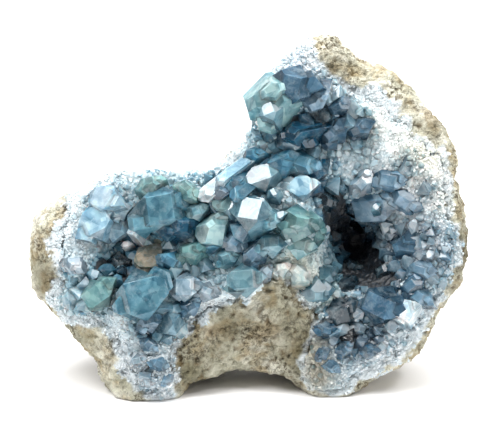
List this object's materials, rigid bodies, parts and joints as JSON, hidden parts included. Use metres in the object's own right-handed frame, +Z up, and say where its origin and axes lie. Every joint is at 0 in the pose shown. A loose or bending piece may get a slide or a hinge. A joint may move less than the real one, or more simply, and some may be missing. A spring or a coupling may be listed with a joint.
{
  "type": "celestite geode",
  "caption": "Broken limestone nodule with an open face lined by a crust of blocky blue crystals, standing on its own rough feet.",
  "frame": {"origin": "middle of the bounding box, on the surface the stone stands on", "axes": "+X to the right across the open face as the viewer sees it, +Y from the open face to the back, +Z up; the open face looks along -Y and leans back"},
  "size_m": [0.2238, 0.107, 0.1741],
  "materials": {
    "limestone": "rough, grainy, matt",
    "celestite": "translucent, glassy faces"
  },
  "bodies": {
    "root": {"rind": "limestone", "crystal_crust": "celestite"}
  },
  "joints": []
}
